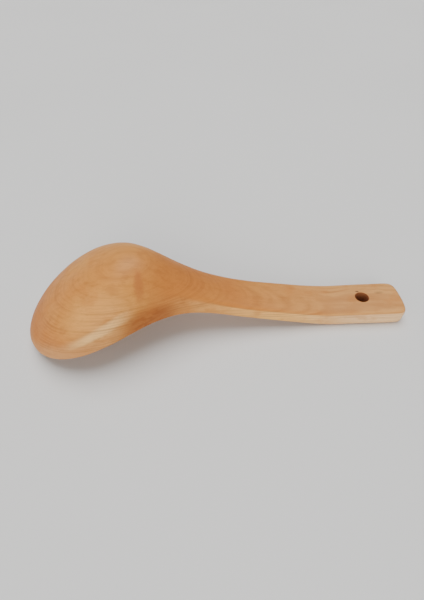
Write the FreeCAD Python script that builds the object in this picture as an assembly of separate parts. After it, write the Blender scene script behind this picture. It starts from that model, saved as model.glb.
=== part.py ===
import FreeCAD, Part
import math
import os

from FreeCAD import Vector

# Carved wooden serving spoon, one piece of wood, lying face down. Millimetres, +Z up, bowl towards -X.
# While it is built, x runs from 0 at the bowl's tip to LENGTH at the handle's end; y is 0 on the centre line.

LENGTH = 260.0
NOSE_LENGTH = 44.4
NOSE_HALF_WIDTH = 43.8
END_HALF_WIDTH = 15.0

# The handle's end: a curve from the side to the middle of the end, drawn out towards a square corner.
END_ROUND_START = LENGTH - 9.0
CORNER_ALONG = LENGTH - 1.4
CORNER_ACROSS = 13.6

# Half width of the outline from the widest point of the bowl, through the neck, to the end rounding.
FLANK_POINTS = [
    (NOSE_LENGTH, NOSE_HALF_WIDTH),
    (66.0, 38.4),
    (88.0, 26.2),
    (112.0, 16.8),
    (140.0, 14.4),
    (190.0, 14.6),
    (END_ROUND_START, END_HALF_WIDTH),
]

# The face: the plane of the bowl's rim, the underside of the neck, then the flat that the handle rests on.
REST_START = 214.0
TIP_SLOPE = 0.36
FACE_POINTS = [
    (0.0, 0.0),
    (44.4, 14.2),
    (106.0, 20.9),
    (143.0, 12.2),
    (182.0, 4.1),
    (REST_START, 0.0),
]

# Height of the upright side band above the face.
BAND_START_SLOPE = 0.1
BAND_POINTS = [
    (0.0, 6.3),
    (NOSE_LENGTH, 10.3),
    (85.0, 13.2),
    (116.0, 10.4),
    (154.0, 9.2),
    (REST_START, 10.3),
    (LENGTH, 10.3),
]

# Rise of the back above the side band, along the centre line from the dome's top to the handle.
DOME_LENGTH = 70.0
DOME_RISE = 24.0
HANDLE_RISE = 1.1
HANDLE_START = 174.0
RISE_POINTS = [
    (DOME_LENGTH, DOME_RISE),
    (85.0, 20.7),
    (101.5, 12.3),
    (118.0, 5.8),
    (133.6, 2.5),
    (HANDLE_START, HANDLE_RISE),
]

# The back's section is the middle part of a half ellipse: nearly all of it over the bowl, less over the neck.
BOWL_ARC = 0.94
NECK_ARC = 0.80
ARC_CHANGE_START = 45.0
ARC_CHANGE_END = 95.0

# The hollow: an egg-shaped scoop, deepest at DEEPEST_X, whose half width shrinks steadily towards the neck.
HOLLOW_START = 5.4
HOLLOW_END = 110.0
DEEPEST_X = 66.0
HOLLOW_DEPTH = 28.0
HOLLOW_REACH = 33.0
HOLLOW_TAPER = 0.375
HOLLOW_FULLNESS = 3.2

HOLE_X = 232.0
HOLE_RADIUS = 4.6

SHOULDER_ROUND = 2.5
RIM_ROUND = 1.5

# The cutting surfaces run past the wood: along and below it, beside it and beyond the tip of the bowl.
OVERLAP = 2.0
BACK_MARGIN = 1.02
NOSE_MARGIN = 0.9
HOLLOW_MARGIN = 1.2
HOLLOW_OVERLAP = 3.0
FAR = 80.0  # beyond the wood in any direction across the spoon

# How finely the cutting surfaces follow the shape.
NOSE_ANGLES = range(10, 90, 8)
SIDE_ANGLES = range(-90, 91, 10)
BACK_STEPS = 36
HOLLOW_STEPS = 24
HALVINGS = 40

# Edges are told apart by their height above the face.
ON_FACE = 0.1
NEAR_BAND_TOP = 0.9


def smooth_curve(points, start_slope, end_slope):
    """Smooth curve through (x, value) points, with the slope given at both ends."""
    curve = Part.BSplineCurve()
    curve.interpolate(
        Points=[Vector(x, value, 0) for x, value in points],
        InitialTangent=Vector(1, start_slope, 0),
        FinalTangent=Vector(1, end_slope, 0),
    )
    return curve


def value_at(curve, x):
    """Value of a curve that runs steadily along x."""
    low = curve.FirstParameter
    high = curve.LastParameter
    for _ in range(HALVINGS):
        middle = (low + high) / 2
        if curve.value(middle).x < x:
            low = middle
        else:
            high = middle
    return curve.value(low).y


FLANK = smooth_curve(FLANK_POINTS, 0.0, 0.0)
FACE = smooth_curve(FACE_POINTS, TIP_SLOPE, 0.0)
BAND = smooth_curve(BAND_POINTS, BAND_START_SLOPE, 0.0)
RISE = smooth_curve(RISE_POINTS, 0.0, 0.0)


def half_width(x):
    """Half width of the outline, carried straight on past the end rounding."""
    if x < NOSE_LENGTH:
        return NOSE_HALF_WIDTH * math.sqrt(max(0.0, x * (2 * NOSE_LENGTH - x))) / NOSE_LENGTH
    return value_at(FLANK, min(x, END_ROUND_START))


def face_height(x):
    if x < 0:
        return TIP_SLOPE * x
    return value_at(FACE, min(x, REST_START))


def band_height(x):
    return value_at(BAND, min(max(x, 0.0), LENGTH))


def rise_height(x):
    return value_at(RISE, min(x, HANDLE_START))


def arc_share(x):
    """How much of the half ellipse the back's section uses at x."""
    step = (x - ARC_CHANGE_START) / (ARC_CHANGE_END - ARC_CHANGE_START)
    step = min(max(step, 0.0), 1.0)
    return BOWL_ARC + (NECK_ARC - BOWL_ARC) * step * step * (3 - 2 * step)


def arc_fraction(across, share):
    """Height of a flattened half ellipse: 1 in the middle, 0 at across = 1."""
    cut = math.sqrt(1 - share**2)
    return (math.sqrt(max(0.0, 1 - (share * across) ** 2)) - cut) / (1 - cut)


def dome_distance(x, y):
    """Distance from the dome's top, 1 on the outline, for the part of the bowl before the top."""
    along = (DOME_LENGTH - x) / DOME_LENGTH
    if x < NOSE_LENGTH:
        spread = math.sqrt((2 * NOSE_LENGTH - x) / (2 * DOME_LENGTH - x))
        reach = NOSE_HALF_WIDTH * DOME_LENGTH / NOSE_LENGTH * spread
    else:
        reach = half_width(x) / math.sqrt(1 - along**2)
    return math.hypot(along, y / reach)


def back_height(x, y):
    """Height of the carved back above the table."""
    base = face_height(x) + band_height(x)
    if x < DOME_LENGTH:
        return base + DOME_RISE * arc_fraction(dome_distance(x, y), arc_share(x))
    return base + rise_height(x) * arc_fraction(y / half_width(x), arc_share(x))


def hollow_reach(x):
    return HOLLOW_REACH - HOLLOW_TAPER * (x - DEEPEST_X)


def hollow_height(x, y):
    """Height of the hollow's surface; it is below the face everywhere outside the egg."""
    rim = HOLLOW_START if x < DEEPEST_X else HOLLOW_END
    along = (x - DEEPEST_X) / (rim - DEEPEST_X)
    distance = math.hypot(along, y / hollow_reach(x))
    return face_height(x) + HOLLOW_DEPTH * (1 - distance**HOLLOW_FULLNESS)


def surface_over(rows):
    """Smooth surface that follows a grid of control points closely."""
    knots = []
    multiplicities = []
    for count in (len(rows), len(rows[0])):
        knots.append(list(range(count - 2)))
        multiplicities.append([4] + [1] * (count - 4) + [4])
    surface = Part.BSplineSurface()
    surface.buildFromPolesMultsKnots(rows, *multiplicities, *knots, False, False, 3, 3)
    return surface.toShape()


def outline_blank():
    """The board sawn to the outline, taller than the spoon above and below."""
    end_poles = [
        Vector(END_ROUND_START, END_HALF_WIDTH, 0),
        Vector(CORNER_ALONG, END_HALF_WIDTH, 0),
        Vector(LENGTH, CORNER_ACROSS, 0),
        Vector(LENGTH, 0, 0),
    ]
    end = Part.BezierCurve()
    end.setPoles(end_poles)
    nose = Part.Ellipse(Vector(NOSE_LENGTH, 0, 0), NOSE_LENGTH, NOSE_HALF_WIDTH)
    half = [
        Part.ArcOfEllipse(nose, math.pi / 2, math.pi).toShape(),
        FLANK.toShape(),
        end.toShape(),
    ]
    other_half = [edge.mirror(Vector(0, 0, 0), Vector(0, 1, 0)) for edge in half]
    outline = Part.Wire(Part.__sortEdges__(half + other_half))
    outline.translate(Vector(0, 0, -FAR))
    return Part.Face(outline).extrude(Vector(0, 0, 2 * FAR))


def wood_above_back():
    """Everything above the back, over an outline slightly larger than the spoon's."""
    stations = []
    for degrees in NOSE_ANGLES:
        angle = math.radians(degrees)
        x = NOSE_LENGTH - (NOSE_LENGTH + NOSE_MARGIN) * math.cos(angle)
        stations.append((x, BACK_MARGIN * NOSE_HALF_WIDTH * math.sin(angle)))
    for step in range(BACK_STEPS + 1):
        x = NOSE_LENGTH + (LENGTH + OVERLAP - NOSE_LENGTH) * step / BACK_STEPS
        stations.append((x, BACK_MARGIN * half_width(x)))
    rows = []
    for x, width in stations:
        across = [width * math.sin(math.radians(degrees)) for degrees in SIDE_ANGLES]
        rows.append([Vector(x, y, back_height(x, y)) for y in across])
    return surface_over(rows).extrude(Vector(0, 0, FAR))


def space_below_face():
    """Everything below the face line, right across the spoon."""
    face = FACE.toShape()
    face.rotate(Vector(0, 0, 0), Vector(1, 0, 0), 90)
    corners = [
        Vector(REST_START, 0, 0),
        Vector(LENGTH + OVERLAP, 0, 0),
        Vector(LENGTH + OVERLAP, 0, -2 * FAR),
        Vector(-OVERLAP, 0, -2 * FAR),
        Vector(-OVERLAP, 0, -OVERLAP * TIP_SLOPE),
        Vector(0, 0, 0),
    ]
    edges = [face] + Part.makePolygon(corners).Edges
    profile = Part.Face(Part.Wire(Part.__sortEdges__(edges)))
    profile.translate(Vector(0, -FAR, 0))
    return profile.extrude(Vector(0, 2 * FAR, 0))


def space_in_hollow():
    """Everything below the hollow's surface."""
    first = HOLLOW_START - HOLLOW_OVERLAP
    last = HOLLOW_END + HOLLOW_OVERLAP
    rows = []
    for i in range(HOLLOW_STEPS + 1):
        x = first + (last - first) * i / HOLLOW_STEPS
        width = HOLLOW_MARGIN * hollow_reach(x)
        across = [width * (2 * j / HOLLOW_STEPS - 1) for j in range(HOLLOW_STEPS + 1)]
        rows.append([Vector(x, y, hollow_height(x, y)) for y in across])
    return surface_over(rows).extrude(Vector(0, 0, -2 * FAR))


def soften_edges(wood):
    """Round the rim and the underside's edges, then the line where the back meets the side band."""
    rim = []
    shoulder = []
    for edge in wood.Edges:
        middle = edge.valueAt((edge.FirstParameter + edge.LastParameter) / 2)
        height = middle.z - face_height(middle.x)
        if abs(height) < ON_FACE:
            rim.append(edge)
        elif height > NEAR_BAND_TOP * band_height(middle.x):
            shoulder.append(edge)
    rounded = wood.makeFillet(RIM_ROUND, rim)
    left = [edge for edge in rounded.Edges if any(edge.isSame(old) for old in shoulder)]
    return rounded.makeFillet(SHOULDER_ROUND, left)


def make_spoon():
    wood = outline_blank()
    for cutter in (wood_above_back(), space_below_face(), space_in_hollow()):
        wood = wood.cut(cutter)
    wood = soften_edges(wood)
    hanging_hole = Part.makeCylinder(HOLE_RADIUS, 2 * FAR, Vector(HOLE_X, 0, -FAR), Vector(0, 0, 1))
    wood = wood.cut(hanging_hole).Solids[0]
    wood.translate(Vector(-LENGTH / 2, 0, 0))
    return wood


os.makedirs("parts", exist_ok=True)
spoon = make_spoon()
spoon.exportStep("parts/spoon.step")
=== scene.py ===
import math

import bmesh
import bpy
import numpy as np
from mathutils import Matrix, Vector, noise


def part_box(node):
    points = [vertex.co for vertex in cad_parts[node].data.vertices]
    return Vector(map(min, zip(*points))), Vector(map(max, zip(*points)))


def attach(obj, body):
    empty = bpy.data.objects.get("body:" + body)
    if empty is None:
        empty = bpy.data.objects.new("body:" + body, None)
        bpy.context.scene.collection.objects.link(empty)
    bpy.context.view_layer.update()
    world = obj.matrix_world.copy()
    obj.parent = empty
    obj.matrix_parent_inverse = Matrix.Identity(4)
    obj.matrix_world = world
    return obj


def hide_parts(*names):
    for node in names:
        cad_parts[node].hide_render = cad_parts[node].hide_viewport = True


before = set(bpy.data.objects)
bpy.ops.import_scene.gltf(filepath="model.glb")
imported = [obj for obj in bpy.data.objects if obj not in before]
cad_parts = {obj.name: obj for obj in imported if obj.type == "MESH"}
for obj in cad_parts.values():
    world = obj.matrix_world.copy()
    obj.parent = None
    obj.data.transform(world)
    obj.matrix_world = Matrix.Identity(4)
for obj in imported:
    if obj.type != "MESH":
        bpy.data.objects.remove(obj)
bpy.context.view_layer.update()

# Carved wooden serving spoon lying face down. Metres, in the CAD part's own frame:
# +X towards the handle's end, +Z up.
LOW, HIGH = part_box("spoon")
TIP_X = LOW.x
LENGTH = HIGH.x - LOW.x

# ---- shape: the same curves as the CAD part, with x measured from the bowl's tip ----
# outline: an elliptical nose, the flank's half width at each x, and the handle's rounded end
NOSE_LENGTH = 0.0444
NOSE_HALF_WIDTH = HIGH.y
END_HALF_WIDTH = 0.0150
END_ROUND_START = LENGTH - 0.0090
CORNER_ALONG = LENGTH - 0.0014
CORNER_ACROSS = 0.0136
FLANK_POINTS = [
    (NOSE_LENGTH, NOSE_HALF_WIDTH),
    (0.066, 0.0384),
    (0.088, 0.0262),
    (0.112, 0.0168),
    (0.140, 0.0144),
    (0.190, 0.0146),
    (END_ROUND_START, END_HALF_WIDTH),
]
# height of the rim's face above the table; from REST_START on the handle lies flat
TIP_SLOPE = 0.36
REST_START = 0.214
FACE_POINTS = [
    (0.0, 0.0),
    (0.0444, 0.0142),
    (0.106, 0.0209),
    (0.143, 0.0122),
    (0.182, 0.0041),
    (REST_START, 0.0),
]
# height of the upright side band above the face
TIP_BAND_SLOPE = 0.1
BAND_POINTS = [
    (0.0, 0.0063),
    (NOSE_LENGTH, 0.0103),
    (0.085, 0.0132),
    (0.116, 0.0104),
    (0.154, 0.0092),
    (REST_START, 0.0103),
    (LENGTH, 0.0103),
]
# rise of the back's middle above the top of the side band
DOME_LENGTH = 0.070
DOME_RISE = 0.0240
HANDLE_RISE = 0.0011
RISE_POINTS = [
    (DOME_LENGTH, DOME_RISE),
    (0.085, 0.0207),
    (0.1015, 0.0123),
    (0.118, 0.0058),
    (0.1336, 0.0025),
    (0.174, HANDLE_RISE),
]
# share of a half circle's width that the back's arc spans, which falls from bowl to neck
BOWL_ARC = 0.94
NECK_ARC = 0.80
ARC_CHANGE_START = 0.045
ARC_CHANGE_END = 0.095

# hollow: HOLLOW_REACH is its half width at DEEPEST_X, and HOLLOW_TAPER how fast that narrows with x
HOLLOW_START = 0.0054
HOLLOW_END = 0.110
DEEPEST_X = 0.066
HOLLOW_DEPTH = 0.028
HOLLOW_REACH = 0.033
HOLLOW_TAPER = 0.375
HOLLOW_FULLNESS = 3.2
HOLLOW_LIP = 0.004

# drilled hanging hole; its two edges are eased by HOLE_EASE
HOLE_X = 0.232
HOLE_RADIUS = 0.0046
HOLE_EASE = 0.0002

# rounding of the rim and of the shoulder; each takes at most its share of the wall's height
RIM_ROUND = 0.0016
RIM_SHARE = 0.30
SHOULDER_ROUND = 0.0027
SHOULDER_SHARE = 0.45

# depth of the waves left by hand sanding, and how many there are to a metre
SANDING_WAVES = [(0.00016, 48), (0.00006, 130)]

# ---- mesh: rings that follow the outline, and a block of four-sided cells inside them ----
ACROSS = 22
ALONG = 150
# before the points are relaxed, the block is this share of the width inside the last ring
BLOCK_WIDTH = 0.85
LOOSE_RINGS = 3
RELAX_ROUNDS = 900
BACK_INSETS = [SHOULDER_ROUND, 0.0034, 0.0042, 0.0050, 0.0058, 0.0068]
FACE_INSETS = [RIM_ROUND, 0.0025, 0.0034, 0.0043, 0.0053, 0.0064]
# the block's corners, as distances along the outline from its two ends
NOSE_CORNER = 0.024
END_CORNER = 0.0119
# along the handle the rings draw closer together, by CLOSER_SHARE
CLOSER_START = 0.105
CLOSER_LENGTH = 0.045
CLOSER_SHARE = 0.55
# cells round the drilled hole that give way to rings
HOLE_PATCH = 0.0072
HOLE_MARGIN = 4
HOLE_RINGS = 5
HOLE_RING_STEP = 0.0005
QUARTERS = (0.25, 0.5, 0.75)


def smooth_curve(points, start_slope, end_slope):
    """Smooth cubic curve through (x, value) points, with the slope given at both ends."""
    x, value = np.array(points).T
    gap = np.diff(x)
    rise = np.diff(value) / gap
    matrix = np.eye(len(x))
    target = np.zeros(len(x))
    target[0] = start_slope
    target[-1] = end_slope
    for i in range(1, len(x) - 1):
        matrix[i, i - 1 : i + 2] = (gap[i], 2 * (gap[i - 1] + gap[i]), gap[i - 1])
        target[i] = 3 * (gap[i] * rise[i - 1] + gap[i - 1] * rise[i])
    slope = np.linalg.solve(matrix, target)

    def value_at(place):
        place = np.clip(place, x[0], x[-1])
        i = np.clip(np.searchsorted(x, place) - 1, 0, len(gap) - 1)
        t = (place - x[i]) / gap[i]
        ends = (1 + 2 * t) * (1 - t) ** 2 * value[i] + t * t * (3 - 2 * t) * value[i + 1]
        return ends + gap[i] * (t * (1 - t) ** 2 * slope[i] - t * t * (1 - t) * slope[i + 1])

    return value_at


flank_width = smooth_curve(FLANK_POINTS, 0.0, 0.0)
face_height = smooth_curve(FACE_POINTS, TIP_SLOPE, 0.0)
band_height = smooth_curve(BAND_POINTS, TIP_BAND_SLOPE, 0.0)
rise_height = smooth_curve(RISE_POINTS, 0.0, 0.0)


def eased(share):
    """A share from 0 to 1 that starts and stops softly."""
    share = np.clip(share, 0.0, 1.0)
    return share * share * (3 - 2 * share)


def arc_fraction(across, x):
    """Height of an arc of a circle, scaled to be 1 in the middle and 0 at across = 1."""
    change = eased((x - ARC_CHANGE_START) / (ARC_CHANGE_END - ARC_CHANGE_START))
    share = BOWL_ARC + (NECK_ARC - BOWL_ARC) * change
    cut = np.sqrt(1 - share**2)
    return (np.sqrt(np.maximum(0.0, 1 - (share * across) ** 2)) - cut) / (1 - cut)


def back_height(x, y):
    """Height of the carved back."""
    along = np.clip((DOME_LENGTH - x) / DOME_LENGTH, 0.0, 1.0)
    nose_reach = NOSE_HALF_WIDTH * DOME_LENGTH / NOSE_LENGTH * np.sqrt(
        np.maximum(2 * NOSE_LENGTH - x, 0.0) / np.maximum(2 * DOME_LENGTH - x, 1e-6)
    )
    flank_reach = flank_width(x) / np.sqrt(np.maximum(1 - along**2, 1e-6))
    reach = np.where(x < NOSE_LENGTH, nose_reach, flank_reach)
    distance = np.hypot(along, y / reach)
    rise = np.where(x < DOME_LENGTH, DOME_RISE, rise_height(x))
    return face_height(x) + band_height(x) + rise * arc_fraction(distance, x)


def under_height(x, y):
    """Height of the underside: the face, with the hollow sunk into it behind a rounded lip."""
    reach = np.maximum(HOLLOW_REACH - HOLLOW_TAPER * (x - DEEPEST_X), 1e-4)
    rim = np.where(x < DEEPEST_X, HOLLOW_START, HOLLOW_END)
    distance = np.hypot((x - DEEPEST_X) / (rim - DEEPEST_X), y / reach)
    rise = HOLLOW_DEPTH * (1 - np.minimum(distance, 2.0) ** HOLLOW_FULLNESS)
    share = np.clip(0.5 + 0.5 * rise / HOLLOW_LIP, 0.0, 1.0)
    return face_height(x) + rise * share + HOLLOW_LIP * share * (1 - share)


def half_outline():
    """A fine line along the outline from the bowl's tip to the middle of the handle's end, y >= 0."""
    angle = np.linspace(0, math.pi / 2, 400)
    nose = np.column_stack([NOSE_LENGTH * (1 - np.cos(angle)), NOSE_HALF_WIDTH * np.sin(angle)])
    x = np.linspace(NOSE_LENGTH, END_ROUND_START, 1200)[1:]
    flank = np.column_stack([x, flank_width(x)])
    t = np.linspace(0, 1, 300)[1:, None]
    flank_end = np.array([END_ROUND_START, END_HALF_WIDTH])
    flank_pole = np.array([CORNER_ALONG, END_HALF_WIDTH])
    end_pole = np.array([LENGTH, CORNER_ACROSS])
    end_middle = np.array([LENGTH, 0.0])
    end = (1 - t) ** 3 * flank_end + 3 * (1 - t) ** 2 * t * flank_pole
    end += 3 * (1 - t) * t * t * end_pole + t**3 * end_middle
    return np.vstack([nose, flank, end])


def outline_loop():
    """Points once round the outline from the bowl's tip, and the inward direction at each."""
    line = half_outline()
    step = np.hypot(*np.diff(line, axis=0).T)
    travelled = np.concatenate([[0.0], np.cumsum(step)])
    whole = travelled[-1]
    half = ACROSS // 2
    nose_stops = np.linspace(0, NOSE_CORNER, half + 1)
    side_stops = np.linspace(NOSE_CORNER, whole - END_CORNER, ALONG + 1)[1:]
    end_stops = np.linspace(whole - END_CORNER, whole, half + 1)[1:]
    stops = np.concatenate([nose_stops, side_stops, end_stops])

    def at(place):
        return np.column_stack([np.interp(place, travelled, axis) for axis in line.T])

    # the direction at a stop runs between the points this far before and after it
    reach = 0.0002
    points = at(stops)
    way = at(np.minimum(stops + reach, whole)) - at(np.maximum(stops - reach, 0.0))
    way[0] = (0.0, 1.0)
    way[-1] = (0.0, -1.0)
    way /= np.hypot(*way.T)[:, None]
    inward = np.column_stack([way[:, 1], -way[:, 0]])
    flip = np.array([1.0, -1.0])
    return np.vstack([points, (points * flip)[-2:0:-1]]), np.vstack([inward, (inward * flip)[-2:0:-1]])


OUTLINE, INWARD = outline_loop()
AROUND = len(OUTLINE)


def inset_loop(distance, first):
    """The outline moved inwards; the steps after the first are closer together along the handle."""
    handle = eased((OUTLINE[:, 0] - CLOSER_START) / CLOSER_LENGTH)
    inset = first + (distance - first) * (1 - CLOSER_SHARE * handle)
    return OUTLINE + INWARD * inset[:, None]


def block_border():
    """Grid places (i, j) of the middle block's border, in the order of the outline's points."""
    half = ACROSS // 2
    nose = [(0, j) for j in range(half, ACROSS)]
    far_side = [(i, ACROSS) for i in range(ALONG)]
    end = [(ALONG, j) for j in range(ACROSS, 0, -1)]
    near_side = [(i, 0) for i in range(ALONG, 0, -1)]
    return nose + far_side + end + near_side + [(0, j) for j in range(half)]


def block_grid(inner, border):
    """First places of the block's points, spread between the two sides of the inner loop."""
    number_at = {place: number for number, place in enumerate(border)}
    share = np.linspace(0, 1, ACROSS + 1)[:, None]
    grid = np.zeros((ALONG + 1, ACROSS + 1, 2))
    for i in range(ALONG + 1):
        near = inner[number_at[(i, 0)]]
        far = inner[number_at[(i, ACROSS)]]
        grid[i] = near + (far - near) * share
    grid[:, :, 1] *= BLOCK_WIDTH
    return grid


def hole_patch(middle_row):
    """The block's stretch (i0, i1, j0, j1) that makes way for the drilled hole."""
    i0 = int(np.argmin(np.abs(middle_row - (HOLE_X - HOLE_PATCH))))
    i1 = int(np.argmin(np.abs(middle_row - (HOLE_X + HOLE_PATCH))))
    return i0, i1, HOLE_MARGIN, ACROSS - HOLE_MARGIN


def block_cells(block, patch):
    """Faces of the block outside the patch."""
    i0, i1, j0, j1 = patch
    cells = []
    for i in range(ALONG):
        for j in range(ACROSS):
            if not (i0 <= i < i1 and j0 <= j < j1):
                cells.append([block[i, j], block[i + 1, j], block[i + 1, j + 1], block[i, j + 1]])
    return np.array(cells)


def patch_border(block, patch):
    """Point numbers once round the patch, from the middle of its side towards the handle's end."""
    i0, i1, j0, j1 = patch
    middle = (j0 + j1) // 2
    border = [block[i1, j] for j in range(middle, j1)]
    border += [block[i, j1] for i in range(i1, i0, -1)]
    border += [block[i0, j] for j in range(j1, j0, -1)]
    border += [block[i, j0] for i in range(i0, i1)]
    border += [block[i1, j] for j in range(j0, middle)]
    return np.array(border)


def hole_circles(count):
    """Circles of points round the drilled hole, from its edge outwards."""
    turn = np.linspace(0, 2 * math.pi, count, endpoint=False)
    spokes = np.column_stack([np.cos(turn), np.sin(turn)])
    radii = [HOLE_RADIUS + HOLE_EASE + HOLE_RING_STEP * number for number in range(HOLE_RINGS)]
    return [np.array([HOLE_X, 0.0]) + spokes * radius for radius in radii]


def bridge(first, second):
    """Four-sided faces between two closed loops of point numbers."""
    return np.column_stack([first, np.roll(first, -1), np.roll(second, -1), second])


def bridges(loops):
    """Faces between each loop and the next."""
    return [bridge(first, second) for first, second in zip(loops[:-1], loops[1:])]


def relaxed(points, faces, free):
    """Moves the free points until each lies midway between its neighbours."""
    pairs = np.vstack([faces[:, [k, (k + 1) % 4]] for k in range(4)])
    pairs = np.unique(np.sort(pairs, axis=1), axis=0)
    start, stop = np.vstack([pairs, pairs[:, ::-1]]).T
    count = np.maximum(np.bincount(start, minlength=len(points)), 1)
    for _ in range(RELAX_ROUNDS):
        for axis in (0, 1):
            total = np.bincount(start, weights=points[stop, axis], minlength=len(points))
            points[free, axis] = (total / count)[free]
    return points


def without_spares(points, faces, loops):
    """The same mesh without the points that no face uses, and its loops numbered to match."""
    used = np.unique(faces)
    number = np.full(len(points), -1)
    number[used] = np.arange(len(used))
    return points[used], number[faces], [number[loop] for loop in loops]


def plan_mesh(insets):
    """Flat mesh of the outline with the drilled hole in it: points, faces, (outer loop, hole loop)."""
    rings = [inset_loop(distance, insets[0]) for distance in insets]
    border = block_border()
    grid = block_grid(rings[-1], border)
    edge = np.array([grid[place] for place in border])
    shares = [number / (LOOSE_RINGS + 1) for number in range(1, LOOSE_RINGS + 1)]
    loose = [rings[-1] + (edge - rings[-1]) * share for share in shares]
    points = np.vstack(rings + loose)
    loops = np.arange(len(points)).reshape(-1, AROUND)

    block = len(points) + np.arange((ALONG + 1) * (ACROSS + 1)).reshape(ALONG + 1, ACROSS + 1)
    points = np.vstack([points, grid.reshape(-1, 2)])
    block_edge = np.array([block[place] for place in border])
    patch = hole_patch(grid[:, ACROSS // 2, 0])
    mouth = patch_border(block, patch)
    circles = hole_circles(len(mouth))
    hole_loops = list(len(points) + np.arange(HOLE_RINGS * len(mouth)).reshape(HOLE_RINGS, -1))
    points = np.vstack([points] + circles)

    around = bridges(list(loops) + [block_edge])
    faces = np.vstack(around + [block_cells(block, patch)] + bridges(hole_loops + [mouth]))
    free = np.zeros(len(points), bool)
    free[len(rings) * AROUND :] = True
    free[np.concatenate(hole_loops[:2])] = False
    return without_spares(relaxed(points, faces, free), faces, (loops[0], hole_loops[0]))


class Skin:
    """Points and faces of the spoon's surface as they are put together."""

    def __init__(self):
        self.points = []
        self.faces = []
        self.count = 0

    def add(self, plan, height):
        self.points.append(np.column_stack([plan, height]))
        numbers = self.count + np.arange(len(plan))
        self.count += len(plan)
        return numbers

    def add_sheet(self, insets, height_at):
        """One side of the spoon. Gives the places and the point numbers of its two loops."""
        plan, faces, loops = plan_mesh(insets)
        height = height_at(*plan.T)
        numbers = self.add(plan, height)
        self.faces.append(numbers[faces])
        places = np.column_stack([plan, height])
        return [(places[loop], numbers[loop]) for loop in loops]

    def add_wall(self, face_loop, back_loop, edge, shares):
        """Wall from the face's loop up to the back's, standing at the plan positions of edge."""
        low, low_numbers = face_loop
        high, high_numbers = back_loop
        foot = np.column_stack([edge, face_height(edge[:, 0])])
        head = np.column_stack([edge, back_height(*edge.T)])
        tall = head[:, 2] - foot[:, 2]
        rise = foot.copy()
        rise[:, 2] += np.minimum(np.hypot(*(low - foot)[:, :2].T), RIM_SHARE * tall)
        fall = head.copy()
        fall[:, 2] -= np.minimum(np.linalg.norm(high - head, axis=1), SHOULDER_SHARE * tall)
        loops = turned_corner(low, foot, rise, shares) + [rise]
        loops += [rise + (fall - rise) * share for share in QUARTERS]
        loops += [fall] + turned_corner(fall, head, high, shares)
        rows = [self.add(loop[:, :2], loop[:, 2]) for loop in loops]
        self.faces += bridges([low_numbers] + rows + [high_numbers])


def turned_corner(start, corner, end, shares):
    """Points of a smooth turn from start to end, rounding the corner between them."""
    return [(1 - t) ** 2 * start + 2 * t * (1 - t) * corner + t * t * end for t in shares]


def spoon_skin():
    """Points and four-sided faces of the whole surface, in the part's frame."""
    skin = Skin()
    back_outline, back_hole = skin.add_sheet(BACK_INSETS, back_height)
    face_outline, face_hole = skin.add_sheet(FACE_INSETS, under_height)
    skin.add_wall(face_outline, back_outline, OUTLINE, QUARTERS)
    turn = np.linspace(0, 2 * math.pi, len(face_hole[1]), endpoint=False)
    ring = np.column_stack([HOLE_X + HOLE_RADIUS * np.cos(turn), HOLE_RADIUS * np.sin(turn)])
    skin.add_wall(face_hole, back_hole, ring, (0.5,))
    points = np.vstack(skin.points)
    points[:, 0] += TIP_X
    return points, np.vstack(skin.faces)


def hand_finish(mesh):
    """Very shallow waves left by hand sanding, never below the surface that the spoon rests on."""
    places = [vertex.co.copy() for vertex in mesh.vertices]
    normals = [vertex.normal.copy() for vertex in mesh.vertices]
    finished = []
    for place, normal in zip(places, normals):
        wave = sum(depth * noise.noise(place * per_metre) for depth, per_metre in SANDING_WAVES)
        moved = place + normal * wave
        finished += [moved.x, moved.y, max(moved.z, 0.0)]
    mesh.vertices.foreach_set("co", finished)
    mesh.update()


def make_spoon():
    """The spoon as one closed mesh, smoothed once."""
    points, faces = spoon_skin()
    mesh = bpy.data.meshes.new("carved_spoon")
    mesh.from_pydata(points.tolist(), [], faces.tolist())
    work = bmesh.new()
    work.from_mesh(mesh)
    bmesh.ops.recalc_face_normals(work, faces=work.faces)
    work.to_mesh(mesh)
    work.free()
    mesh.shade_smooth()
    hand_finish(mesh)
    spoon = bpy.data.objects.new("carved_spoon", mesh)
    bpy.context.scene.collection.objects.link(spoon)
    smooth = spoon.modifiers.new("smooth", "SUBSURF")
    smooth.levels = 1
    smooth.render_levels = 1
    return spoon


# ---- materials ----
PALE = (0.665, 0.290, 0.054, 1.0)
TAN = (0.620, 0.250, 0.045, 1.0)
WARM = (0.535, 0.180, 0.029, 1.0)
# the next colour darkens end grain, and is also the painted shade in the hollow beside the neck
END_GRAIN_AND_SHADE = (0.315, 0.085, 0.009, 1.0)
# the three side colours are paler side grain with a painted sheen on top
BOWL_SIDE_AND_SHEEN = (0.890, 0.560, 0.235, 1.0)
SIDE_AND_SHEEN = (0.950, 0.545, 0.160, 1.0)
END_SIDE_AND_SHEEN = (0.960, 0.640, 0.330, 1.0)
# painted highlight along the bowl's shoulder
SHOULDER_HIGHLIGHT = (0.950, 0.585, 0.220, 1.0)
FAIR = (0.810, 0.400, 0.100, 1.0)
# painted sheen towards the handle's end
END_SHEEN = (0.680, 0.345, 0.110, 1.0)
LATE_WOOD = (0.330, 0.098, 0.016, 1.0)
PORE = (0.200, 0.075, 0.028, 1.0)
STAIN = (0.400, 0.115, 0.026, 1.0)
KNOT = (0.080, 0.032, 0.018, 1.0)
# painted shade inside the drilled hole
DRILLED_WALL_SHADE = (0.260, 0.085, 0.040, 1.0)
FLOOR_COOL = (0.72, 0.72, 0.715, 1.0)
FLOOR_PLAIN = (0.75, 0.75, 0.75, 1.0)

# the growth layers are lowest along the line y = PITH_Y and rise on both sides of it
PITH_Y = -0.009
LAYER_RISE = 8.0
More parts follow.
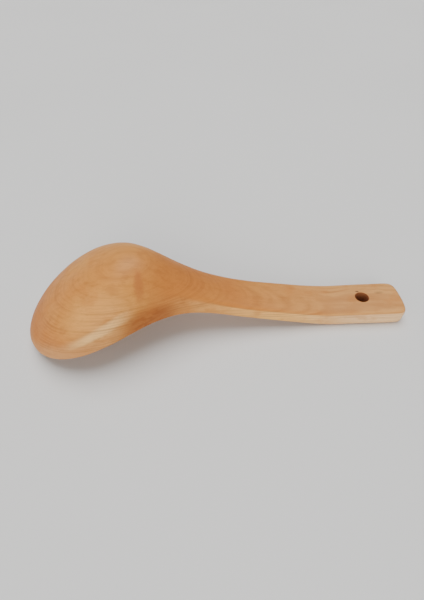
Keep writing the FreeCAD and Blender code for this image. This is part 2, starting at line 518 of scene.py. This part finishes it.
# the darker growth lines: height above the table of each where it is lowest, and how dark it is
RING_SPAN = 0.060
RINGS = [
    (0.0118, 0.4),
    (0.0133, 0.5),
    (0.0160, 0.5),
    (0.0190, 0.6),
    (0.0250, 0.6),
    (0.0268, 1.0),
    (0.0327, 0.6),
    (0.0366, 0.8),
    (0.0450, 0.3),
    (0.0535, 0.4),
]
# each line sets in below its height, is darkest just under it and stops just over it
RING_SETS_IN = -0.0011
RING_DARKEST = -0.0001
RING_STOPS = 0.0003
# the fine lines between them: phase to a metre of height, and how far noise shifts the phase
FINE_PHASE = 3400.0
FINE_SHIFT = 12.0

# bands as (start, full, fade, end): stretches along X, and how far the normal leans up
# WAIST is the stretch along X where the hollow beside the neck gets its painted shade
WAIST = (-0.067, -0.051, -0.038, -0.012)
NECK = (-0.050, -0.026, 0.000, 0.055)
# the stretch along X and the lean of the normal where the painted highlight on the bowl's shoulder lies
HIGHLIGHT_STRETCH = (-0.094, -0.074, -0.064, -0.047)
HIGHLIGHT_LEAN = (0.14, 0.28, 0.38, 0.54)

# marks as (centre, radii)
SWELL = ((-0.0480, -0.0110, 0.0520), (0.0200, 0.0170, 0.0300))
FAIR_PATCH = ((-0.0680, -0.0340, 0.0400), (0.0170, 0.0140, 0.0140))
RED_STAIN = ((-0.0457, -0.0175, 0.0465), (0.0024, 0.0066, 0.0200))
FIRST_KNOT = ((0.1003, 0.0056, 0.0112), (0.0012, 0.0006, 0.0030))
SECOND_KNOT = ((0.1148, 0.0036, 0.0112), (0.0026, 0.0011, 0.0030))

# distances out from the drilled wall between which its dark colour, a painted shade, fades away
MOUTH_START = 0.0001
MOUTH_END = 0.0003


class Nodes:
    """Short ways to add and join shader nodes."""

    def __init__(self, name):
        self.material = bpy.data.materials.new(name)
        self.material.use_nodes = True
        self.tree = self.material.node_tree
        self.shader = self.tree.nodes["Principled BSDF"]
        coordinates = self.add("ShaderNodeTexCoord").outputs
        self.place = coordinates["Object"]
        self.normal = coordinates["Normal"]

    def put(self, socket, value):
        if isinstance(value, bpy.types.NodeSocket):
            self.tree.links.new(value, socket)
        else:
            socket.default_value = value

    def add(self, kind, inputs=(), **settings):
        node = self.tree.nodes.new(kind)
        for key, value in settings.items():
            setattr(node, key, value)
        for key, value in dict(inputs).items():
            self.put(node.inputs[key], value)
        return node

    def math(self, operation, first, second=0.0):
        return self.add("ShaderNodeMath", {0: first, 1: second}, operation=operation).outputs[0]

    def product(self, first, *others):
        for other in others:
            first = self.math("MULTIPLY", first, other)
        return first

    def total(self, first, *others):
        for other in others:
            first = self.math("ADD", first, other)
        return first

    def vector(self, operation, first, second=(0.0, 0.0, 0.0)):
        return self.add("ShaderNodeVectorMath", {0: first, 1: second}, operation=operation).outputs

    def noise(self, scale, detail=2.0, roughness=0.5, distortion=0.0, along=1.0, at=None):
        """Noise over the surface; along below 1 draws it out lengthways, as fibres are."""
        if at is None:
            at = self.vector("MULTIPLY", self.place, (along, 1.0, 1.0))[0]
        values = {
            "Vector": at,
            "Scale": scale,
            "Detail": detail,
            "Roughness": roughness,
            "Distortion": distortion,
        }
        return self.add("ShaderNodeTexNoise", values).outputs["Fac"]

    def waver(self, noise, depth):
        """Noise turned into a small height either way."""
        return self.product(self.math("SUBTRACT", noise, 0.5), depth)

    def range(self, value, low, high, to_low=0.0, to_high=1.0):
        """A soft step from to_low at low to to_high at high."""
        values = {"Value": value, "From Min": low, "From Max": high, "To Min": to_low, "To Max": to_high}
        return self.add("ShaderNodeMapRange", values, interpolation_type="SMOOTHSTEP").outputs["Result"]

    def band(self, value, start, full, fade, end):
        """1 from full to fade, easing down to 0 at start and end."""
        return self.product(self.range(value, start, full), self.range(value, end, fade))

    def layer(self, under, over, mask, strength=1.0):
        """Lays one colour over another where the mask is 1."""
        node = self.add("ShaderNodeMix", data_type="RGBA")
        self.put(node.inputs["Factor"], self.product(mask, strength))
        self.put(node.inputs[6], under)
        self.put(node.inputs[7], over)
        return node.outputs[2]

    def ring_lines(self, height):
        """Darker growth lines at set heights: each darkens slowly upwards and then stops short."""
        node = self.add("ShaderNodeValToRGB", {"Fac": self.math("DIVIDE", height, RING_SPAN)})
        ramp = node.color_ramp
        ramp.elements.remove(ramp.elements[1])
        ramp.elements[0].color = (0.0, 0.0, 0.0, 1.0)
        for level, dark in RINGS:
            for offset, value in ((RING_SETS_IN, 0.0), (RING_DARKEST, dark), (RING_STOPS, 0.0)):
                element = ramp.elements.new((level + offset) / RING_SPAN)
                element.color = (value, value, value, 1.0)
        return node.outputs["Color"]

    def spot(self, centre, radii, ragged=0.0, softness=0.4):
        """1 inside an ellipsoid and 0 outside, with a soft edge that ragged moves in and out."""
        away = self.vector("SUBTRACT", self.place, centre)[0]
        unit = self.vector("MULTIPLY", away, tuple(1 / radius for radius in radii))[0]
        distance = self.vector("LENGTH", unit)["Value"]
        return self.range(self.total(distance, ragged), 1.0 + softness, 1.0 - softness)


class Wood(Nodes):
    """The spoon's wood, as masks and colours over the surface."""

    def __init__(self):
        super().__init__("pale_carved_wood")
        self.x, self.y, self.z = self.add("ShaderNodeSeparateXYZ", {0: self.place}).outputs
        self.nx, self.ny, self.nz = self.add("ShaderNodeSeparateXYZ", {0: self.normal}).outputs
        # fibres and short pores run along the spoon
        self.fibre = self.noise(2600.0, detail=3.0, roughness=0.6, along=0.03)
        self.streak = self.noise(380.0, along=0.06)
        self.pore = self.range(self.noise(1500.0, detail=0.0, along=0.12), 0.70, 0.80)
        self.mottle = self.noise(95.0, detail=3.0, roughness=0.55, along=0.7)
        self.cloud = self.noise(24.0)
        # the ends of the spoon cut across the fibres
        handle_end = self.range(self.nx, 0.30, 0.75)
        nose = self.range(self.nx, -0.45, -0.95)
        self.end_grain = self.math("MAXIMUM", handle_end, nose)
        self.drilled = self.drilled_wall()

    def growth_layers(self):
        """Masks of the fine and the darker growth lines.

        The layers lie almost level, so their lines follow the heights of the carved surface.
        """
        off_pith = self.math("SUBTRACT", self.y, PITH_Y)
        height = self.math("SUBTRACT", self.z, self.product(off_pith, off_pith, LAYER_RISE))
        drift = self.waver(self.noise(34.0, along=0.5), 0.0032)
        ripple = self.waver(self.noise(150.0, along=0.5), 0.0009)
        swell = self.product(self.spot(*SWELL, softness=0.8), 0.0010)
        height = self.total(height, drift, ripple, swell)

        level = self.add("ShaderNodeCombineXYZ", {"Z": height}).outputs[0]
        shift = self.product(self.noise(330.0, detail=1.0, at=level), FINE_SHIFT)
        phase = self.total(self.product(height, FINE_PHASE), shift)
        patchy = self.noise(60.0, roughness=0.55, along=0.35)
        fine = self.range(self.math("SINE", phase), 0.1, 1.0)
        fine = self.product(fine, self.range(patchy, 0.40, 0.68, 0.10, 1.0))
        fine = self.product(fine, self.range(self.z, 0.048, 0.034, 0.35, 1.0))
        ring = self.product(self.ring_lines(height), self.range(patchy, 0.36, 0.62, 0.30, 1.0))
        return fine, ring

    def flank_masks(self):
        """Masks of the brown painted shade in the hollow beside the neck, and of the pale upright sides,
        which are paler side grain with a painted sheen.
        """
        waist = self.band(self.x, *WAIST)
        # 0 on the inside of the bowl, where the normals point to the middle line
        outward = self.range(self.product(self.y, self.ny), 0.0, 0.006)
        slope = self.math("ABSOLUTE", self.nz)
        # painted shade: the steep wall of the hollow beside the neck is darkened in the colour
        hollow = self.product(self.range(slope, 0.40, 0.15), waist, outward)
        hollow = self.product(hollow, self.range(self.streak, 0.58, 0.40, 0.68, 1.0))

        # the sides are palest along the handle, and a little less pale low on the flank; the paleness is
        # partly side grain and partly a painted sheen
        low_share = self.range(self.nz, 0.05, 0.34, 0.85, 1.0)
        share = self.total(low_share, self.range(self.x, 0.00, 0.05, 0.0, 0.5))
        share = self.math("MINIMUM", share, self.range(self.x, -0.030, 0.040, 0.30, 1.0))
        side = self.product(self.range(slope, 0.62, 0.30), outward, self.math("SUBTRACT", 1.0, waist))
        side = self.product(side, self.range(self.nx, 0.85, 0.50), share)
        return hollow, side

    def ground_colour(self):
        """Pale on the bowl, warmer at the neck and low on the nose, and paler towards the handle's end,
        where the paleness is a painted sheen.
        """
        colour = self.layer(PALE, TAN, self.range(self.cloud, 0.35, 0.65))
        low_nose = self.product(self.range(self.z, 0.034, 0.022), self.range(self.x, -0.060, -0.085), 0.9)
        warmth = self.math("MAXIMUM", self.band(self.x, *NECK), low_nose)
        warmth = self.product(warmth, self.range(self.cloud, 0.25, 0.60, 0.75, 1.0))
        colour = self.layer(colour, WARM, warmth, 0.85)
        # painted sheen: paler towards the handle's end
        return self.layer(colour, END_SHEEN, self.range(self.x, 0.010, 0.110), 0.80)

    def side_and_sheen_colour(self):
        """Colour of the upright sides, from the bowl over the neck to the handle's end: paler side grain
        with a painted sheen.
        """
        colour = self.layer(BOWL_SIDE_AND_SHEEN, SIDE_AND_SHEEN, self.range(self.x, -0.070, -0.030))
        return self.layer(colour, END_SIDE_AND_SHEEN, self.range(self.x, 0.040, 0.100))

    def dabs(self):
        """Mask of small darker dabs, fewer along the handle."""
        noise = self.noise(230.0, roughness=0.55, distortion=0.4, along=0.45)
        return self.product(self.range(noise, 0.52, 0.74), self.range(self.x, -0.02, 0.03, 1.0, 0.5))

    def drilled_wall(self):
        """Mask of the drilled hole's wall."""
        level = self.vector("MULTIPLY", self.place, (1.0, 1.0, 0.0))[0]
        from_hole = self.vector("DISTANCE", level, (TIP_X + HOLE_X, 0.0, 0.0))["Value"]
        return self.range(from_hole, HOLE_RADIUS + MOUTH_END, HOLE_RADIUS + MOUTH_START)

    def marked(self, colour):
        """Adds a faint reddish stain on the dome and two pin knots near the hole."""
        ragged = self.range(self.noise(320.0, detail=3.0, roughness=0.6), 0.0, 1.0, -0.45, 0.45)
        speck = self.range(self.noise(900.0, roughness=0.6), 0.0, 1.0, -0.5, 0.5)
        colour = self.layer(colour, STAIN, self.spot(*RED_STAIN, ragged, 0.60), 0.60)
        colour = self.layer(colour, KNOT, self.spot(*FIRST_KNOT, speck, 0.5), 0.85)
        return self.layer(colour, KNOT, self.spot(*SECOND_KNOT, speck, 0.7), 0.35)


def wood_material():
    wood = Wood()
    fine, ring = wood.growth_layers()
    hollow, side = wood.flank_masks()
    shoulder_highlight = wood.product(wood.band(wood.nz, *HIGHLIGHT_LEAN), wood.band(wood.x, *HIGHLIGHT_STRETCH))

    colour = wood.ground_colour()
    colour = wood.layer(colour, END_GRAIN_AND_SHADE, wood.end_grain, 0.25)
    # painted shade in the hollow beside the neck
    colour = wood.layer(colour, END_GRAIN_AND_SHADE, hollow, 0.95)
    colour = wood.layer(colour, FAIR, wood.spot(*FAIR_PATCH, softness=0.5), 0.60)
    # the upright sides: partly paler side grain, partly a painted sheen
    colour = wood.layer(colour, wood.side_and_sheen_colour(), side, 0.92)
    colour = wood.layer(colour, WARM, wood.range(wood.mottle, 0.48, 0.75), 0.45)
    colour = wood.layer(colour, LATE_WOOD, wood.dabs(), 0.28)
    colour = wood.layer(colour, LATE_WOOD, wood.range(wood.streak, 0.42, 0.72), 0.18)
    # painted highlight along the bowl's shoulder
    colour = wood.layer(colour, SHOULDER_HIGHLIGHT, shoulder_highlight, 0.82)
    colour = wood.layer(colour, LATE_WOOD, fine, 0.28)
    colour = wood.layer(colour, LATE_WOOD, ring, 0.56)
    colour = wood.layer(colour, LATE_WOOD, wood.range(wood.fibre, 0.35, 0.75), 0.16)
    colour = wood.layer(colour, PORE, wood.pore, 0.15)
    colour = wood.marked(colour)
    # painted shade on the drilled hole's wall
    wood.put(wood.shader.inputs["Base Color"], wood.layer(colour, DRILLED_WALL_SHADE, wood.drilled, 0.85))

    # end grain and the drilled wall are rougher than the sanded surface
    rough = wood.range(wood.mottle, 0.3, 0.7, 0.48, 0.58)
    rough = wood.total(rough, wood.product(wood.fibre, 0.05), wood.product(wood.end_grain, 0.08))
    wood.put(wood.shader.inputs["Roughness"], wood.total(rough, wood.product(wood.drilled, 0.25)))

    relief = wood.math("SUBTRACT", wood.product(wood.fibre, 0.5), wood.product(wood.pore, 0.9))
    relief = wood.math("SUBTRACT", relief, wood.product(ring, 0.6))
    bump = wood.add("ShaderNodeBump", {"Strength": 0.22, "Distance": 0.00012, "Height": relief})
    wood.put(wood.shader.inputs["Normal"], bump.outputs[0])
    wood.shader.inputs["IOR"].default_value = 1.45
    wood.shader.inputs["Specular IOR Level"].default_value = 0.38
    return wood.material


def floor_material():
    floor = Nodes("pale_floor")
    cloud = floor.noise(3.0, detail=3.0)
    floor.put(floor.shader.inputs["Base Color"], floor.layer(FLOOR_COOL, FLOOR_PLAIN, cloud))
    floor.put(floor.shader.inputs["Roughness"], floor.range(cloud, 0.3, 0.7, 0.60, 0.68))
    return floor.material


# ---- setting: floor, light and camera ----
FLOOR_HALF = 4.0
# the floor lies just under the spoon's flat underside, so that no two faces coincide
FLOOR_Z = -0.0002
# the room's colours, and the upward share of a direction where the change starts and ends
HORIZON = (0.78, 0.77, 0.76, 1.0)
HORIZON_TOP = 0.06
OVERHEAD = (0.15, 0.145, 0.14, 1.0)
OVERHEAD_START = 0.64


def make_floor():
    mesh = bpy.data.meshes.new("floor")
    signs = ((-1, -1), (1, -1), (1, 1), (-1, 1))
    corners = [(FLOOR_HALF * across, FLOOR_HALF * deep, 0) for across, deep in signs]
    mesh.from_pydata(corners, [], [(0, 1, 2, 3)])
    mesh.materials.append(floor_material())
    floor = bpy.data.objects.new("floor", mesh)
    floor.location.z = FLOOR_Z
    bpy.context.scene.collection.objects.link(floor)


def soft_light(name, direction, spread, strength, colour):
    """A wide, even light that shines from the given direction; spread is in degrees."""
    light = bpy.data.lights.new(name, "SUN")
    light.angle = math.radians(spread)
    light.energy = strength
    light.color = colour
    lamp = bpy.data.objects.new(name, light)
    lamp.location = direction
    lamp.rotation_euler = Vector(direction).to_track_quat("Z", "Y").to_euler()
    bpy.context.scene.collection.objects.link(lamp)


def make_room():
    """A pale room, brightest at the horizon and below it."""
    world = bpy.data.worlds.new("soft_room")
    world.use_nodes = True
    nodes = world.node_tree.nodes
    links = world.node_tree.links
    split = nodes.new("ShaderNodeSeparateXYZ")
    links.new(nodes.new("ShaderNodeTexCoord").outputs["Generated"], split.inputs[0])
    ramp = nodes.new("ShaderNodeValToRGB")
    links.new(split.outputs["Z"], ramp.inputs["Fac"])
    low, high = ramp.color_ramp.elements
    low.position = HORIZON_TOP
    low.color = HORIZON
    high.position = OVERHEAD_START
    high.color = OVERHEAD
    links.new(ramp.outputs["Color"], nodes["Background"].inputs["Color"])
    bpy.context.scene.world = world


def make_lights():
    """The room's own light and three wide lights."""
    make_room()
    soft_light("overhead", (0.0, 0.35, 1.30), spread=52, strength=3.02, colour=(0.99, 1.0, 1.01))
    soft_light("front", (0.0, -1.30, 0.52), spread=37, strength=1.52, colour=(1.0, 0.94, 0.84))
    soft_light("left", (-1.20, -0.80, 0.50), spread=33, strength=0.5, colour=(1.0, 0.95, 0.88))


def make_camera():
    """A hand-held camera close above the near side of the spoon, looking down at it."""
    elevation = math.radians(47.1)
    azimuth = math.radians(-0.4)
    roll = math.radians(-1.9)
    distance = 0.2512
    target = Vector((-0.0030, 0.0133, 0.0))
    level = Vector((math.sin(azimuth), -math.cos(azimuth), 0.0))
    back = level * math.cos(elevation) + Vector((0.0, 0.0, math.sin(elevation)))
    lens = bpy.data.cameras.new("camera")
    # the sensor's width and the focal length are in millimetres
    lens.sensor_width = 36.0
    lens.lens = 20.06
    lens.clip_start = 0.01
    camera = bpy.data.objects.new("camera", lens)
    turn = back.to_track_quat("Z", "Y").to_matrix() @ Matrix.Rotation(roll, 3, "Z")
    camera.matrix_world = Matrix.Translation(target + back * distance) @ turn.to_4x4()
    bpy.context.scene.collection.objects.link(camera)
    bpy.context.scene.camera = camera


make_camera()
make_lights()
make_floor()
spoon = make_spoon()
spoon.data.materials.append(wood_material())
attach(spoon, "root")
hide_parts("spoon")
